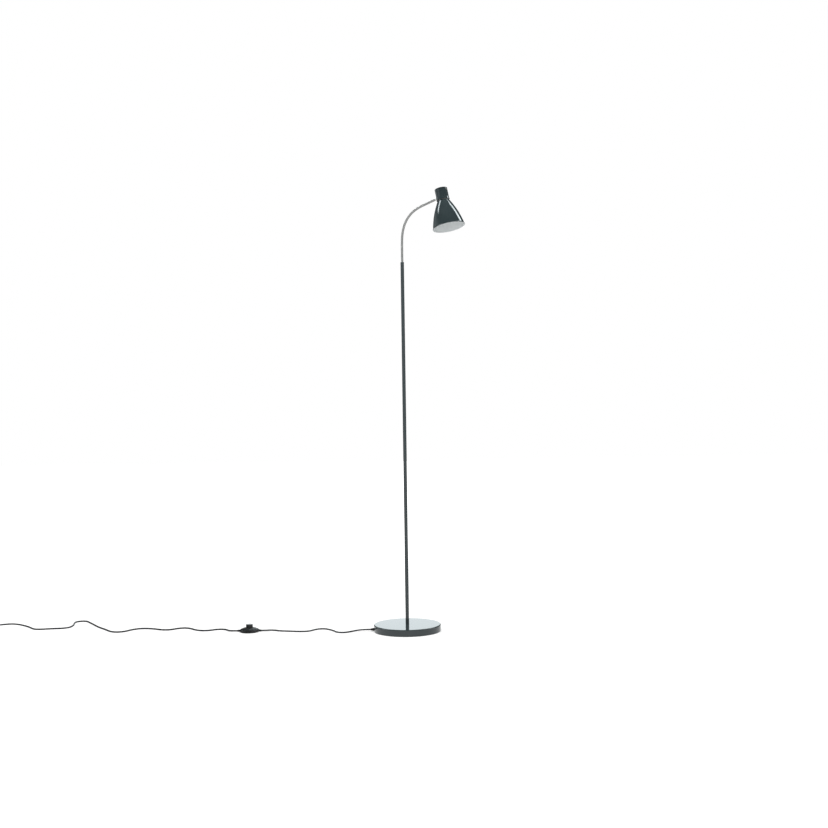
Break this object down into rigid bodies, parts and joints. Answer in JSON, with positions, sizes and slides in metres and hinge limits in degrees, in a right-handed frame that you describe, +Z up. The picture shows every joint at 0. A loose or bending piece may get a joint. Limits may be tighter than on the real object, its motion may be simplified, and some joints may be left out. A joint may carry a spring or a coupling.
{
  "type": "floor lamp",
  "caption": "Reading floor lamp with a round weighted base, a thin pole, a bending neck, a bell shade and a foot switch on its cord.",
  "frame": {"origin": "centre of the underside of the base, on the floor", "axes": "+Z up along the pole, +X to the right as the lamp is usually seen, -Y towards the reader"},
  "size_m": [1.885, 0.4521, 1.4983],
  "materials": {
    "base_paint": "gloss",
    "pole_paint": "gloss",
    "head_paint": "gloss",
    "shade_enamel": "gloss",
    "iron": "matte",
    "black_moulding": "satin",
    "button_plastic": "satin",
    "pad_rubber": "matte",
    "cord_sheath": "satin",
    "tie_plastic": "satin",
    "zinc_steel": "satin",
    "spring_steel": "satin",
    "bright_screw": "polished",
    "neck_steel": "satin",
    "lampholder_body": "satin",
    "contact_brass": "satin",
    "wire_insulation": "satin",
    "bulb_glass": "polished",
    "bulb_metal": "satin"
  },
  "bodies": {
    "stand": {"base_cover": "base_paint", "base_nipple": "zinc_steel", "base_nut": "zinc_steel", "base_pad_ring": "pad_rubber", "base_plate": "black_moulding", "base_screws": "zinc_steel", "base_washer": "zinc_steel", "base_weight": "iron", "coil_ties": "tie_plastic", "cord_bush": "pad_rubber", "cord_clamp": "black_moulding", "cord_clamp_screws": "zinc_steel", "cord_coil": "cord_sheath", "cord_tail": "cord_sheath", "cord_to_coil": "cord_sheath", "cord_to_switch": "cord_sheath", "lead_in_stand": "cord_sheath", "neck_foot": "neck_steel", "plug_body": "black_moulding", "plug_pins": "contact_brass", "pole_couplers": "zinc_steel", "pole_foot_insert": "zinc_steel", "pole_lower_tube": "pole_paint", "pole_middle_tube": "pole_paint", "pole_top_insert": "zinc_steel", "pole_upper_tube": "pole_paint", "switch_base": "black_moulding", "switch_contacts": "contact_brass", "switch_cover": "black_moulding", "switch_grommets": "pad_rubber", "switch_leads": "cord_sheath", "switch_screws": "zinc_steel", "switch_spring": "spring_steel"},
    "neck_01": {"neck_link_01": "neck_steel"},
    "neck_02": {"neck_link_02": "neck_steel"},
    "neck_03": {"neck_link_03": "neck_steel"},
    "neck_04": {"neck_link_04": "neck_steel"},
    "neck_05": {"neck_link_05": "neck_steel"},
    "neck_06": {"neck_link_06": "neck_steel"},
    "neck_07": {"neck_link_07": "neck_steel"},
    "neck_08": {"neck_link_08": "neck_steel"},
    "neck_09": {"neck_link_09": "neck_steel"},
    "neck_10": {"neck_link_10": "neck_steel"},
    "neck_11": {"neck_link_11": "neck_steel"},
    "head": {"neck_ferrule": "neck_steel", "neck_washer": "zinc_steel", "neck_nut": "zinc_steel", "housing_shell": "head_paint", "housing_cap": "head_paint", "housing_screws": "bright_screw", "holder_bridge": "zinc_steel", "holder_screw": "zinc_steel", "lampholder": "lampholder_body", "holder_contacts": "contact_brass", "holder_wires": "wire_insulation", "shade": "shade_enamel", "shade_ring": "black_moulding", "bulb_cap": "bulb_metal", "bulb_glass": "bulb_glass"},
    "foot_button": {"switch_button": "button_plastic"}
  },
  "joints": [
    {"name": "neck_lean_1", "type": "hinge", "parent": "stand", "child": "neck_01", "pos_m": [0, 0, 1.28488], "axis": [0.766, -0.6428, 0], "range_deg": [-20, 20]},
    {"name": "neck_lean_2", "type": "hinge", "parent": "neck_01", "child": "neck_02", "pos_m": [0, 0, 1.30576], "axis": [0.766, -0.6428, 0], "range_deg": [-20, 20]},
    {"name": "neck_bend_1", "type": "hinge", "parent": "neck_02", "child": "neck_03", "pos_m": [0, 0, 1.32807], "axis": [0.6428, 0.766, 0], "range_deg": [-2.9, 16.1]},
    {"name": "neck_bend_2", "type": "hinge", "parent": "neck_03", "child": "neck_04", "pos_m": [0.00092, -0.00077, 1.35179], "axis": [0.6428, 0.766, 0], "range_deg": [-8.26, 10.74]},
    {"name": "neck_bend_3", "type": "hinge", "parent": "neck_04", "child": "neck_05", "pos_m": [0.00444, -0.00373, 1.3751], "axis": [0.6428, 0.766, 0], "range_deg": [-12.36, 6.64]},
    {"name": "neck_bend_4", "type": "hinge", "parent": "neck_05", "child": "neck_06", "pos_m": [0.0117, -0.00982, 1.39687], "axis": [0.6428, 0.766, 0], "range_deg": [-14.58, 4.42]},
    {"name": "neck_bend_5", "type": "hinge", "parent": "neck_06", "child": "neck_07", "pos_m": [0.02293, -0.01924, 1.41556], "axis": [0.6428, 0.766, 0], "range_deg": [-14.58, 4.42]},
    {"name": "neck_bend_6", "type": "hinge", "parent": "neck_07", "child": "neck_08", "pos_m": [0.0374, -0.03138, 1.42996], "axis": [0.6428, 0.766, 0], "range_deg": [-12.36, 6.64]},
    {"name": "neck_bend_7", "type": "hinge", "parent": "neck_08", "child": "neck_09", "pos_m": [0.05389, -0.04522, 1.43998], "axis": [0.6428, 0.766, 0], "range_deg": [-8.26, 10.74]},
    {"name": "neck_bend_8", "type": "hinge", "parent": "neck_09", "child": "neck_10", "pos_m": [0.07132, -0.05984, 1.44681], "axis": [0.6428, 0.766, 0], "range_deg": [-2.9, 16.1]},
    {"name": "neck_swing_1", "type": "hinge", "parent": "neck_10", "child": "neck_11", "pos_m": [0.08701, -0.07301, 1.45184], "axis": [-0.1827, 0.1533, 0.9711], "range_deg": [-20, 20]},
    {"name": "neck_swing_2", "type": "hinge", "parent": "neck_11", "child": "head", "pos_m": [0.10269, -0.08617, 1.45687], "axis": [-0.1827, 0.1533, 0.9711], "range_deg": [-20, 20]},
    {"name": "button_press", "type": "slide", "parent": "stand", "child": "foot_button", "axis": [0, 0, -1], "range_m": [0, 0.004], "stiffness_N_per_m": 500, "springref_m": -0.002, "deforming": ["switch_spring"]}
  ]
}
